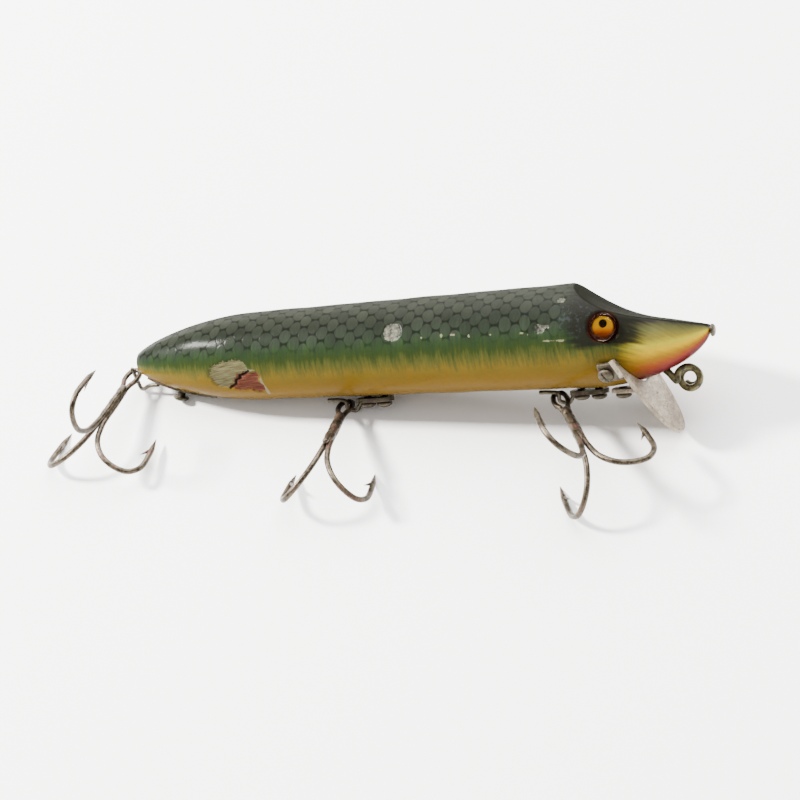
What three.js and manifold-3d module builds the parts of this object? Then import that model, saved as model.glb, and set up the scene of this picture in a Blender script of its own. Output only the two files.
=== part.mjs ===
// A carved wooden fishing lure in the shape of a pike, with glass eyes, a metal diving lip and
// three treble hooks. It lies on its left flank, propped by its lip and hooks.
// Millimetres. In the lure's own frame x runs from tail to nose, y to its left, z to its back.
import * as THREE from 'three';
import { mergeVertices } from 'three/addons/utils/BufferGeometryUtils.js';
import Module from 'manifold-3d';

const wasm = await Module();
wasm.setup();

const gap = 0.3;

// How it lies: the head is pitched up onto the lip, the back leans away, and a small flat on the
// body keeps it from rolling
const nosePitch = 5.37;
const backLean = 43;
const flatDepth = 0.44;

// Body, turned on a lathe, then scooped on top of the head
const bodyLength = 114;
const tailEndRadius = 1.9;
const tailTaperLength = 28;
const tailTaperRadius = 8.4;
const tailRoundness = 0.83;
const shoulderX = 92;
const shoulderRadius = 9.6;
const noseReach = 22.3;
const noseRoundness = 0.6;
const bodySides = 32;

// Scoop on top of the head: x and z of its start, the turn of its curve, and the snout's flat. The
// head is carved a little askew: its scoop and eyes drop by headTilt per millimetre to the left.
const scoopStart = [89.5, 9.9];
const scoopTurn = [93.8, 4.2];
const snoutStart = [103, 2.55];
const snoutEnd = [116, 0.24];
const headTilt = 0.12;

// Glass eyes
const eyeX = 97;
const eyeHeight = 1.1;
const eyeRadius = 2.5;
const eyeSocketDepth = 1.6;
const eyeDome = 1.1;

// Pin in the nose
const pinHeadRadius = 1.15;
const pinHeadThickness = 0.7;
const pinShankRadius = 0.35;
const pinShankLength = 3;

// Line tie, a coil of two narrowing turns on a shank under the chin
const tieCentre = [109.25, -8.9];
const tieRadius = 2.25;
const tieSpiral = 0.5;
const tieWire = 0.55;
const tieCoilPitch = 1.3;
const tieEntry = [101.4, -3.9];
const tieShankLength = 5.8;
const tieShankSlope = 41;

// Diving lip: its tongue is a little wider on the left
const lipTip = [107.4, -18.2];
const lipSlope = 58.4;
const lipLength = 17;
const lipHalfWidth = 9.8;
const tongueLength = 13.5;
const tongueHalfWidth = 8.1;
const tongueShift = 0.4;
const sheetThickness = 0.8;
const earAngle = 38;
const earX = 96.7;
const earForward = 0.55;
const earLength = 4;
const earWidth = 3.9;
const bellyTabX = 97;
const bellyTabLength = 9;
const bellyTabWidth = 5;
const bellyTabBehindScrew = 1.9;

// Slotted screws
const screwHeadRadius = 1.45;
const screwHeadHeight = 0.9;
const screwShankRadius = 0.75;
const screwShankLength = 4.5;
const screwSlotWidth = 0.4;
const screwSlotDepth = 0.4;

// Hook hangers: a sheet plate with a wire loop that a hook's ring pivots on
const frontPivotX = 84.6;
const middlePivotX = 42.4;
const tailPivot = new THREE.Vector3(-2.1, 0.8, -2.2);
const hangerWire = 0.38;
const plateLength = 6.9;
const plateWidth = 5;
const plateScrewSpacing = 3.3;
const loopDrop = 1.45;
const tailStripStart = 15.5;
const tailStripEnd = 1.4;
const tailStripWidth = 2.7;
const tailScrewX = 8;
const tailScrewLean = 16;

// Treble hooks
const hookWire = 0.46;
const hookReach = 11.5;
const hookRingHalfWidth = 1.19;
const hookRingBack = 1.14;
const wireSides = 6;
const hookShankRadius = 0.95;

const radians = THREE.MathUtils.degToRad;
const wood = new THREE.MeshStandardMaterial({ color: 0x4a5f3a, roughness: 0.3, metalness: 0 });
const steel = new THREE.MeshStandardMaterial({ color: 0x6b6154, roughness: 0.45, metalness: 0.9 });
const lipMetal = new THREE.MeshStandardMaterial({ color: 0xb3aca2, roughness: 0.55, metalness: 0.8 });
const brass = new THREE.MeshStandardMaterial({ color: 0x77704c, roughness: 0.4, metalness: 0.9 });
const glass = new THREE.MeshStandardMaterial({ color: 0xb8862b, roughness: 0.05, metalness: 0 });

// Half thickness of the turned body at a distance x from the tail end
function bodyRadius(x) {
  if (x < tailTaperLength) {
    const toGo = 1 - x / tailTaperLength;
    const rise = Math.pow(1 - toGo * toGo, tailRoundness);
    return tailEndRadius + (tailTaperRadius - tailEndRadius) * rise;
  }
  if (x < shoulderX) {
    const share = (x - tailTaperLength) / (shoulderX - tailTaperLength);
    return THREE.MathUtils.lerp(tailTaperRadius, shoulderRadius, share);
  }
  const along = Math.min((x - shoulderX) / noseReach, 1);
  return shoulderRadius * Math.pow(1 - along * along, noseRoundness);
}

// A closed geometry as a solid for joining and cutting
function solidOf(geometry, matrix = new THREE.Matrix4()) {
  const copy = geometry.clone().applyMatrix4(matrix);
  copy.deleteAttribute('normal');
  copy.deleteAttribute('uv');
  const merged = mergeVertices(copy, 1e-4);
  return new wasm.Manifold(new wasm.Mesh({
    numProp: 3,
    vertProperties: new Float32Array(merged.attributes.position.array),
    triVerts: new Uint32Array(merged.index.array),
  }));
}

function geometryOf(solid) {
  const mesh = solid.getMesh();
  const geometry = new THREE.BufferGeometry();
  geometry.setAttribute('position', new THREE.BufferAttribute(new Float32Array(mesh.vertProperties), 3));
  geometry.setIndex(new THREE.BufferAttribute(new Uint32Array(mesh.triVerts), 1));
  geometry.computeVertexNormals();
  return geometry;
}

// A round wire carried along a smooth curve through the points
function wireAlong(points, radius, steps) {
  const section = new THREE.Shape();
  section.absarc(0, 0, radius, 0, Math.PI * 2);
  const curve = new THREE.CatmullRomCurve3(points);
  return new THREE.ExtrudeGeometry(section, {
    steps, curveSegments: wireSides / 2, bevelEnabled: false, extrudePath: curve,
  });
}

// Turns a shape's own z axis to a direction, and moves its origin to a place
function facing(direction, place) {
  const turn = new THREE.Quaternion().setFromUnitVectors(new THREE.Vector3(0, 0, 1), direction);
  return new THREE.Matrix4().compose(place, turn, new THREE.Vector3(1, 1, 1));
}

// A closed turned shape from a profile of [radius, height] that starts and ends on the axis,
// standing along z
function turned(profile, sides) {
  const points = profile.map(([radius, height]) => new THREE.Vector2(radius, height));
  return new THREE.LatheGeometry(points, sides).rotateX(Math.PI / 2);
}

// The turned body, or a fatter copy of it for cutting clearances
function turnedBody(extra) {
  const profile = [[0, -extra]];
  const tailSteps = 8;
  const noseSteps = 9;
  for (let i = 0; i <= tailSteps; i++) {
    const x = tailTaperLength * Math.pow(i / tailSteps, 1.4);
    profile.push([bodyRadius(x) + extra, i === 0 ? -extra : x]);
  }
  for (let x = tailTaperLength + 16; x < shoulderX; x += 16) profile.push([bodyRadius(x) + extra, x]);
  for (let i = 0; i <= noseSteps; i++) {
    const x = shoulderX + (bodyLength - shoulderX) * Math.sin((i / noseSteps) * Math.PI / 2);
    profile.push([bodyRadius(x) + extra, i === noseSteps ? bodyLength + extra : x]);
  }
  profile.push([0, bodyLength + extra]);
  return solidOf(turned(profile, bodySides), facing(new THREE.Vector3(1, 0, 0), new THREE.Vector3()));
}

// The block that the scoop takes off the top of the head
function scoopBlock() {
  const outline = new THREE.Shape();
  const halfWidth = 12;
  const above = 14;
  outline.moveTo(...scoopStart);
  outline.quadraticCurveTo(...scoopTurn, ...snoutStart);
  outline.lineTo(...snoutEnd);
  outline.lineTo(snoutEnd[0], above);
  outline.lineTo(scoopStart[0], above);
  const block = new THREE.ExtrudeGeometry(outline, {
    depth: halfWidth * 2, curveSegments: 10, bevelEnabled: false,
  });
  block.translate(0, 0, -halfWidth);
  block.rotateX(Math.PI / 2);
  return solidOf(block, new THREE.Matrix4().makeShear(0, 0, 0, -headTilt, 0, 0));
}

// A plain round bar along z, from start to end
function bar(radius, start, end, sides = 16) {
  return turned([[0, start], [radius, start], [radius, end], [0, end]], sides);
}

// Each screw's place: the centre of the underside of its head, and the way its head points
function screwPlaces() {
  const places = {};
  const earOut = bodyRadius(earX) + gap + sheetThickness;
  for (const [name, side] of [['right', -1], ['left', 1]]) {
    const out = new THREE.Vector3(0, side * Math.cos(radians(earAngle)), -Math.sin(radians(earAngle)));
    places[`lip_screw_${name}`] = { out, place: out.clone().multiplyScalar(earOut).setX(earX) };
  }
  const down = new THREE.Vector3(0, 0, -1);
  const under = (x, radius) => new THREE.Vector3(x, 0, -(radius + gap + sheetThickness));
  places.lip_screw_belly = { out: down, place: under(bellyTabX, shoulderRadius) };
  for (const [name, hanger] of Object.entries(bellyHangers)) {
    for (const [i, x] of hanger.screws.entries()) {
      const place = under(x, bodyRadius(hanger.plateEnd));
      places[`${name}_hanger_screw_${i + 1}`] = { out: down, place };
    }
  }
  const leanRoom = 0.12;
  const lean = radians(tailScrewLean);
  const tailOut = new THREE.Vector3(-Math.sin(lean), 0, -Math.cos(lean));
  const tailUnder = -(bodyRadius(tailScrewX) + gap + sheetThickness + leanRoom);
  places.tail_hanger_screw = { out: tailOut, place: new THREE.Vector3(tailScrewX, 0, tailUnder) };
  return places;
}

// A hanger under the belly, set by the x of its hook's pivot
function bellyHanger(pivotX) {
  const plateAhead = 2.7;
  const screwInset = 1.75;
  const plateStart = pivotX + plateAhead;
  const plateEnd = plateStart + plateLength;
  const firstScrew = plateStart + screwInset;
  return {
    plateStart,
    plateEnd,
    screws: [firstScrew, firstScrew + plateScrewSpacing],
    pivot: new THREE.Vector3(pivotX, 0, -(bodyRadius(plateEnd) + loopDrop)),
  };
}
const bellyHangers = { front: bellyHanger(frontPivotX), middle: bellyHanger(middlePivotX) };

// The screw's head is a low dome with a slot, on a shank that goes into the wood
function screwSolid({ out, place }) {
  const profile = [[0, -screwShankLength], [screwShankRadius, -screwShankLength], [screwShankRadius, gap]];
  const rim = 0.2;
  const domeSteps = 2;
  profile.push([screwHeadRadius, gap]);
  for (let i = 0; i < domeSteps; i++) {
    const angle = (i / domeSteps) * Math.PI / 2;
    const height = gap + rim + (screwHeadHeight - rim) * Math.sin(angle);
    profile.push([screwHeadRadius * Math.cos(angle), height]);
  }
  profile.push([0, gap + screwHeadHeight]);
  const slot = new THREE.BoxGeometry(screwHeadRadius * 3, screwSlotWidth, screwSlotDepth * 2);
  slot.rotateZ(0.4).translate(0, 0, gap + screwHeadHeight);
  const matrix = facing(out, place);
  return solidOf(turned(profile, 12), matrix).subtract(solidOf(slot, matrix));
}

// The hole that a screw's shank goes through, in sheet and wood
function screwHole({ out, place }) {
  return solidOf(bar(screwShankRadius + gap, -screwShankLength - gap, 2, 10), facing(out, place));
}

function cutAll(solid, cutters) {
  return cutters.reduce((left, cutter) => left.subtract(cutter), solid);
}

function eyeFrame(side) {
  const rise = Math.asin(eyeHeight / bodyRadius(eyeX)) - side * Math.atan(headTilt);
  const out = new THREE.Vector3(0, side * Math.cos(rise), Math.sin(rise));
  return facing(out, out.clone().multiplyScalar(bodyRadius(eyeX)).setX(eyeX));
}

function eyeGeometry(side) {
  const profile = [[0, -eyeSocketDepth], [eyeRadius, -eyeSocketDepth]];
  const domeSteps = 4;
  for (let i = 0; i < domeSteps; i++) {
    const angle = (i / domeSteps) * Math.PI / 2;
    profile.push([eyeRadius * Math.cos(angle), -gap + (eyeDome + gap) * Math.sin(angle)]);
  }
  profile.push([0, eyeDome]);
  return geometryOf(solidOf(turned(profile, 20), eyeFrame(side)));
}

function tieWirePoints() {
  const [centreX, centreZ] = tieCentre;
  const points = [0, 0.5, 1].map((share) => new THREE.Vector3(
    tieEntry[0] + share * tieShankLength * Math.cos(radians(tieShankSlope)),
    0,
    tieEntry[1] - share * tieShankLength * Math.sin(radians(tieShankSlope)),
  ));
  const startAngle = 188;
  const turnedAngle = 680;
  const steps = 26;
  for (let i = 0; i <= steps; i++) {
    const share = i / steps;
    const angle = radians(startAngle - turnedAngle * share);
    const radius = tieRadius - tieSpiral * share;
    points.push(new THREE.Vector3(
      centreX + radius * Math.cos(angle),
      tieCoilPitch * share * turnedAngle / 360,
      centreZ + radius * Math.sin(angle),
    ));
  }
  return points;
}

function tieBore() {
  const slope = radians(tieShankSlope);
  const outward = new THREE.Vector3(Math.cos(slope), 0, -Math.sin(slope));
  const inner = new THREE.Vector3(tieEntry[0], 0, tieEntry[1]);
  return solidOf(bar(tieWire + gap, -gap * 2, tieShankLength + 3, 12), facing(outward, inner));
}

// The lip's outline lies in its own plane: u runs up from the tip, v across
function lipPlate() {
  const outline = new THREE.Shape();
  outline.moveTo(lipLength, lipHalfWidth);
  outline.lineTo(lipLength, -lipHalfWidth);
  outline.lineTo(tongueLength, -lipHalfWidth);
  outline.absellipse(
    tongueLength, tongueShift, tongueLength, tongueHalfWidth, -Math.PI / 2, Math.PI / 2, true, 0,
  );
  outline.lineTo(tongueLength, lipHalfWidth);
  const plate = new THREE.ExtrudeGeometry(outline, {
    depth: sheetThickness, curveSegments: 9, bevelEnabled: false,
  });
  const slope = radians(lipSlope);
  const upPlate = new THREE.Vector3(-Math.cos(slope), 0, Math.sin(slope));
  const across = new THREE.Vector3(0, 1, 0);
  const normal = new THREE.Vector3().crossVectors(upPlate, across);
  const matrix = new THREE.Matrix4().makeBasis(upPlate, across, normal);
  matrix.setPosition(lipTip[0], 0, lipTip[1]);
  return solidOf(plate, matrix);
}

function lipGeometry(screws, clearance) {
  let lip = lipPlate();
  for (const side of ['right', 'left']) {
    const { out, place } = screws[`lip_screw_${side}`];
    const ear = new THREE.BoxGeometry(earWidth, earLength, sheetThickness);
    const middle = place.clone().addScaledVector(out, -sheetThickness / 2);
    const around = new THREE.Vector3(0, out.z, -out.y).normalize();
    const matrix = new THREE.Matrix4().makeBasis(around, new THREE.Vector3().crossVectors(out, around), out);
    matrix.setPosition(middle.setX(earX + earForward));
    lip = lip.add(solidOf(ear, matrix));
  }
  const tab = new THREE.BoxGeometry(bellyTabLength, bellyTabWidth, sheetThickness);
  const tabMiddle = bellyTabX + bellyTabLength / 2 - bellyTabBehindScrew;
  tab.translate(tabMiddle, 0, -(shoulderRadius + gap + sheetThickness / 2));
  const cutters = Object.entries(screws).filter(([name]) => name.startsWith('lip'));
  const holes = cutters.map(([, screw]) => screwHole(screw));
  // The tab ends inside the plate's thickness
  const blockSize = 40;
  const ahead = blockSize / 2 - sheetThickness / 2;
  const slope = radians(lipSlope);
  const block = new THREE.BoxGeometry(blockSize, blockSize, blockSize).rotateY(slope);
  block.translate(lipTip[0] + ahead * Math.sin(slope), 0, lipTip[1] + ahead * Math.cos(slope));
  const trimmedTab = solidOf(tab).subtract(solidOf(block));
  return geometryOf(cutAll(lip.add(trimmedTab), [clearance, ...holes]));
}

// Direction of the world's vertical, seen in the lure's own frame
const lie = new THREE.Euler(-radians(backLean), -radians(nosePitch), 0, 'YXZ');
const backToLevel = new THREE.Quaternion().setFromEuler(lie).invert();
const vertical = new THREE.Vector3(0, 0, 1).applyQuaternion(backToLevel);

// A plate held by two screws, with a wire that runs back, down and up through the hook's ring
function bellyHangerGeometry(hanger, screws) {
  const { plateStart, plateEnd, pivot } = hanger;
  const corner = 1.2;
  const half = plateWidth / 2;
  const outline = new THREE.Shape();
  outline.moveTo(plateStart, -half + corner);
  outline.quadraticCurveTo(plateStart, -half, plateStart + corner, -half);
  outline.lineTo(plateEnd - half, -half);
  outline.absarc(plateEnd - half, 0, half, -Math.PI / 2, Math.PI / 2, false);
  outline.lineTo(plateStart + corner, half);
  outline.quadraticCurveTo(plateStart, half, plateStart, half - corner);
  const plate = new THREE.ExtrudeGeometry(outline, {
    depth: sheetThickness, curveSegments: 6, bevelEnabled: false,
  });
  plate.translate(0, 0, -(bodyRadius(plateEnd) + gap + sheetThickness));
  const loop = wireAlong([
    pivot.clone().add(new THREE.Vector3(3.9, 0, 0.75)),
    pivot.clone().add(new THREE.Vector3(2.8, 0.3, 0.1)),
    pivot.clone().add(new THREE.Vector3(1.6, 0.75, -1.25)),
    pivot.clone().addScaledVector(vertical, -1.15),
    pivot,
    pivot.clone().addScaledVector(vertical, 1.05),
    pivot.clone().add(new THREE.Vector3(-1.9, -0.7, 1.02)),
    pivot.clone().add(new THREE.Vector3(-3.4, -0.3, 1)),
  ], hangerWire, 20);
  return geometryOf(cutAll(solidOf(plate).add(solidOf(loop)), screws.map(screwHole)));
}

// The tail strip follows the belly's taper, then curls up behind the tail through the hook's ring
function tailHangerGeometry(screw) {
  const steps = 8;
  const upper = [];
  const lower = [];
  for (let i = 0; i <= steps; i++) {
    const x = THREE.MathUtils.lerp(tailStripStart, tailStripEnd, i / steps);
    const z = -(bodyRadius(x) + gap);
    upper.push(new THREE.Vector2(x, z));
    lower.unshift(new THREE.Vector2(x, z - sheetThickness));
  }
  const strip = new THREE.ExtrudeGeometry(new THREE.Shape([...upper, ...lower]), {
    depth: tailStripWidth, bevelEnabled: false,
  });
  strip.translate(0, 0, -tailStripWidth / 2);
  strip.rotateX(Math.PI / 2);
  const curl = wireAlong([
    new THREE.Vector3(3.2, 0, -4.5),
    new THREE.Vector3(1.2, 0.3, -4.6),
    new THREE.Vector3(-1, 1.2, -5.2),
    tailPivot.clone().addScaledVector(vertical, -1.6),
    tailPivot,
    tailPivot.clone().addScaledVector(vertical, 1.5),
  ], hangerWire, 14);
  return geometryOf(solidOf(strip).add(solidOf(curl)).subtract(screwHole(screw)));
}

// One arm of a treble as [distance along the shank, distance out from it], in shares of the
// hook's length and reach: the leg that widens from the shank, the round bend and the rise to the
// point
const armProfile = [
  [0.56, 0.03], [0.67, 0.06], [0.843, 0.16], [0.96, 0.37],
  [1, 0.617], [0.983, 0.85], [0.888, 0.995], [0.73, 1],
];
const pointTip = [0.535, 0.948];
const barbBase = [0.67, 0.985];
const barbTip = [0.765, 0.865];

// A treble's own frame: x along the shank, z up from the ring's plane, pivot at the origin
function trebleGeometry(length, armAngles, stubAngles) {
  const place = ([along, out], angle) => new THREE.Vector3(
    along * length,
    -Math.sin(radians(angle)) * out * hookReach,
    Math.cos(radians(angle)) * out * hookReach,
  );
  const spike = (from, to, radius) => {
    const cone = turned([[0, 0], [radius, 0], [0, from.distanceTo(to)]], wireSides);
    return solidOf(cone, facing(to.clone().sub(from).normalize(), from));
  };
  const side = hookRingHalfWidth;
  const ring = [[6, 0.4], [3.6, 0.7], [2.1, side], [0.3, side], [-0.8, side * 0.68], [-hookRingBack, 0]];
  const back = ring.slice(0, -1).reverse().map(([along, out]) => [along, -out]);
  const ringPoints = [...ring, ...back].map(([along, out]) => new THREE.Vector3(along, out, 0));
  const shankStart = 4.4;
  const shankEnd = 0.62 * length;
  const shank = bar(hookShankRadius, shankStart, shankEnd, 8).rotateY(Math.PI / 2);
  let treble = solidOf(wireAlong(ringPoints, hookWire, 18)).add(solidOf(shank));
  for (const angle of armAngles) {
    treble = treble.add(solidOf(wireAlong(armProfile.map((p) => place(p, angle)), hookWire, 14)));
    const last = place(armProfile.at(-1), angle);
    const tip = place(pointTip, angle);
    treble = treble.add(spike(last.clone().lerp(tip, -0.06), tip, hookWire));
    treble = treble.add(spike(place(barbBase, angle), place(barbTip, angle), hookWire * 0.7));
  }
  for (const angle of stubAngles) {
    const stub = [[0.56, 0.03], [0.6, 0.045], [0.655, 0.055]];
    treble = treble.add(solidOf(wireAlong(stub.map((p) => place(p, angle)), hookWire, 2)));
  }
  return geometryOf(treble);
}

function piece(name, geometry, material) {
  const mesh = new THREE.Mesh(geometry, material);
  mesh.name = name;
  return mesh;
}

const lure = new THREE.Group();
const lying = new THREE.Group();
lying.rotation.copy(lie);
lure.add(lying);

const screws = screwPlaces();
const socketBar = bar(eyeRadius + gap, -eyeSocketDepth - gap, 4, 20);
const sockets = [-1, 1].map((side) => solidOf(socketBar, eyeFrame(side)));
const pinBore = solidOf(bar(pinShankRadius + gap, bodyLength - pinShankLength - gap, bodyLength + 2, 12),
  facing(new THREE.Vector3(1, 0, 0), new THREE.Vector3(0, 0, -0.5)));
const bodySolid = cutAll(turnedBody(0), [
  scoopBlock(), ...sockets, pinBore, tieBore(), ...Object.values(screws).map(screwHole),
]);
const body = piece('body', geometryOf(bodySolid), wood);
lying.add(body);

lying.add(piece('eye_right', eyeGeometry(-1), glass));
lying.add(piece('eye_left', eyeGeometry(1), glass));

const pinProfile = [
  [0, -pinShankLength], [pinShankRadius, -pinShankLength], [pinShankRadius, gap], [pinHeadRadius, gap],
  [pinHeadRadius, gap + pinHeadThickness * 0.6], [pinHeadRadius * 0.6, gap + pinHeadThickness],
  [0, gap + pinHeadThickness],
];
const pinPlace = facing(new THREE.Vector3(1, 0, 0), new THREE.Vector3(bodyLength, 0, -0.5));
lying.add(piece('nose_pin', geometryOf(solidOf(turned(pinProfile, 16), pinPlace)), steel));
lying.add(piece('line_tie', geometryOf(solidOf(wireAlong(tieWirePoints(), tieWire, 46))), brass));
lying.add(piece('diving_lip', lipGeometry(screws, turnedBody(gap)), lipMetal));
for (const [name, hanger] of Object.entries(bellyHangers)) {
  const held = [screws[`${name}_hanger_screw_1`], screws[`${name}_hanger_screw_2`]];
  lying.add(piece(`${name}_hanger`, bellyHangerGeometry(hanger, held), steel));
}
lying.add(piece('tail_hanger', tailHangerGeometry(screws.tail_hanger_screw), steel));
for (const [name, place] of Object.entries(screws)) {
  lying.add(piece(name, geometryOf(screwSolid(place)), steel));
}

// The body's lowest part is cut flat where it rests on the surface
lying.updateMatrixWorld(true);
lying.position.z = -new THREE.Box3().setFromObject(body, true).min.z - flatDepth;
lying.updateMatrixWorld(true);
const surfaceBlock = new THREE.BoxGeometry(300, 300, 20).translate(0, 0, -10);
const underSurface = solidOf(surfaceBlock, lying.matrixWorld.clone().invert());
body.geometry = geometryOf(bodySolid.subtract(underSurface));

// Each treble lies on the surface towards the belly's side. sideways is the shank's heading from
// straight out, and the arm angles are measured about the shank from straight up.
const trebles = {
  front: { pivot: bellyHangers.front.pivot, length: 25, sideways: 28.5, arms: [-101, 32, 146], stubs: [] },
  middle: { pivot: bellyHangers.middle.pivot, length: 24.5, sideways: 4, arms: [134, -138], stubs: [0] },
  tail: { pivot: tailPivot, length: 23.5, sideways: -7.5, arms: [-4, 124, -116], stubs: [] },
};
for (const [name, { pivot, length, sideways, arms, stubs }] of Object.entries(trebles)) {
  const treble = piece(`treble_${name}`, trebleGeometry(length, arms, stubs), steel);
  treble.position.copy(pivot.clone().applyMatrix4(lying.matrixWorld));
  treble.rotation.order = 'ZYX';
  treble.rotation.z = radians(sideways - 90);
  lure.add(treble);
  // Tilt the shank up or down until the lowest arm just touches the surface
  let low = -radians(30);
  let high = radians(30);
  for (let i = 0; i < 24; i++) {
    treble.rotation.y = (low + high) / 2;
    treble.updateMatrixWorld(true);
    const bottom = new THREE.Box3().setFromObject(treble, true).min.z;
    if (bottom > 0) low = treble.rotation.y;
    else high = treble.rotation.y;
  }
}

// The origin is under the middle of the whole lure, on the surface it lies on
const box = new THREE.Box3().setFromObject(lure, true);
const middle = box.getCenter(new THREE.Vector3());
lure.position.set(-middle.x, -middle.y, -box.min.z);

export default lure;
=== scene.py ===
# A carved wooden fishing lure in the shape of a pike, painted, lacquered and well used
# It lies on its left flank on a plain pale floor, seen from its belly side
from functools import partial
from math import asin, atan, cos, pi, radians, sin
import bmesh
import bpy
import numpy as np
from mathutils import Matrix, Vector


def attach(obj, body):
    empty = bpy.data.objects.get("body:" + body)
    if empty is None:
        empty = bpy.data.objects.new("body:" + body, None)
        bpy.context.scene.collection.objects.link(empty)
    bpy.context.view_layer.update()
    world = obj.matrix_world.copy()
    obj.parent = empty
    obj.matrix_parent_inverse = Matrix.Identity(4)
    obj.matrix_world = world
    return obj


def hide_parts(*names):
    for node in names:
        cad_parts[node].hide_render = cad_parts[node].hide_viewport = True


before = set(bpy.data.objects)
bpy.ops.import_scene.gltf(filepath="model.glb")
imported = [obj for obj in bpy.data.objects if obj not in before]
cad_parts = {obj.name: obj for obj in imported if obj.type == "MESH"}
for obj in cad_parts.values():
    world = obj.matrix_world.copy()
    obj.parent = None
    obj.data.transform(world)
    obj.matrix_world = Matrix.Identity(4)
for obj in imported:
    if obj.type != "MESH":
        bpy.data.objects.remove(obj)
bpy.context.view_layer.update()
print("frame loaded:", len(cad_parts), "nodes")

# the lure's own frame: x from tail to nose, y to its left, z to its back, in millimetres
# it lies with its nose pitched up and its back leaning away from upright, in degrees
lie = {"nosePitch": 5.37, "backLean": 43.0, "origin": (-50.0025, 11.8175, 5.5880)}


def rotation(axis, angle):
    # the turn about axis 0, 1 or 2 by an angle in radians: the next two axes turn by its cosine and sine
    i, j = (axis + 1) % 3, (axis + 2) % 3
    m = np.eye(3)
    m[i, i] = m[j, j] = cos(angle)
    m[i, j], m[j, i] = -sin(angle), sin(angle)
    return m


turn = rotation(1, -radians(lie["nosePitch"])) @ rotation(0, -radians(lie["backLean"]))
upInLure = turn[2]  # the room's vertical, in the lure's frame


def toRoom(points):
    # lure millimetres to room metres: turn, then move
    return (np.asarray(points, float) @ turn.T + np.array(lie["origin"])) / 1000


def unit(v):
    # v / |v|
    v = np.asarray(v, float)
    return v / np.maximum(np.linalg.norm(v, axis=-1, keepdims=True), 1e-12)


def smoothStep(x, low, high):
    # t^2 (3 - 2 t), with t from 0 at low to 1 at high
    t = np.clip((x - low) / (high - low), 0, 1)
    return t * t * (3 - 2 * t)


def gridFaces(rows, cols, closed, start=0):
    # quads between neighbouring rows and columns; closed joins the last column to the first
    r = np.arange(rows - 1)[:, None]
    c = np.arange(cols if closed else cols - 1)[None, :]
    c2 = (c + 1) % cols
    quad = np.stack([r * cols + c, r * cols + c2, (r + 1) * cols + c2, (r + 1) * cols + c], -1)
    return quad.reshape(-1, 4) + start


def addPiece(name, grids, material, stands, fields=None, sheet=None, rides="lure_body", put=toRoom):
    # grids: points, rows x cols x 3, that put takes to room metres, and whether they close round
    # fields: numbers or vectors on the grid, kept as attributes; stands: the nodes that the piece replaces
    # sheet: thickness, offset and rounding in mm of the wall that an open surface gets
    points, faces, count = [], [], 0
    for grid, closed in grids:
        rows, cols = grid.shape[:2]
        points.append(put(grid).reshape(-1, 3))
        faces.append(gridFaces(rows, cols, closed, count))
        count += rows * cols
    mesh = bpy.data.meshes.new(name)
    mesh.from_pydata(np.concatenate(points).tolist(), [], np.concatenate(faces).tolist())
    for key, values in (fields or {}).items():
        kind, part = ("FLOAT_VECTOR", "vector") if values.ndim == 3 else ("FLOAT", "value")
        mesh.attributes.new(key, kind, "POINT").data.foreach_set(part, values.astype(np.float32).ravel())
    bm = bmesh.new()
    bm.from_mesh(mesh)
    bmesh.ops.remove_doubles(bm, verts=bm.verts, dist=1e-6)
    bmesh.ops.dissolve_degenerate(bm, edges=bm.edges, dist=1e-7)
    if not sheet:
        bmesh.ops.recalc_face_normals(bm, faces=bm.faces)
    bm.to_mesh(mesh)
    bm.free()
    mesh.polygons.foreach_set("use_smooth", np.ones(len(mesh.polygons), bool))
    mesh.materials.append(material)
    piece = bpy.data.objects.new(name, mesh)
    bpy.context.collection.objects.link(piece)
    if sheet:
        # a wall to the offset's side, rounded along its edges
        thickness, offset, edge = sheet
        wall = piece.modifiers.new("wall", "SOLIDIFY")
        wall.thickness, wall.offset, wall.use_even_offset = thickness / 1000, offset, True
        rounding = piece.modifiers.new("rounding", "BEVEL")
        rounding.width, rounding.segments = edge / 1000, 2
        rounding.limit_method, rounding.angle_limit = "ANGLE", radians(50)
    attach(piece, rides)
    if stands:
        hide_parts(*stands)


def smoothPath(points, steps):
    # a centripetal Catmull-Rom curve through the points: between two of them a cubic in w, from 0 to 1,
    # whose slopes t1 and t2 weigh the neighbours' steps by the square roots of their lengths
    p = np.asarray(points, float)
    p = np.vstack([2 * p[0] - p[1], p, 2 * p[-1] - p[-2]])
    t = np.linspace(0, len(p) - 3 - 1e-9, steps)
    i = t.astype(int)
    w = (t - i)[:, None]
    p0, p1, p2, p3 = p[i], p[i + 1], p[i + 2], p[i + 3]
    d0, d1, d2 = [np.maximum(np.sqrt(np.linalg.norm(b - a, axis=1, keepdims=True)), 1e-4)
                  for a, b in ((p0, p1), (p1, p2), (p2, p3))]
    t1 = ((p1 - p0) / d0 - (p2 - p0) / (d0 + d1) + (p2 - p1) / d1) * d1
    t2 = ((p2 - p1) / d1 - (p3 - p1) / (d1 + d2) + (p3 - p2) / d2) * d1
    return p1 + t1 * w + (-3 * p1 + 3 * p2 - 2 * t1 - t2) * w ** 2 + (2 * p1 - 2 * p2 + t1 + t2) * w ** 3


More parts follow.
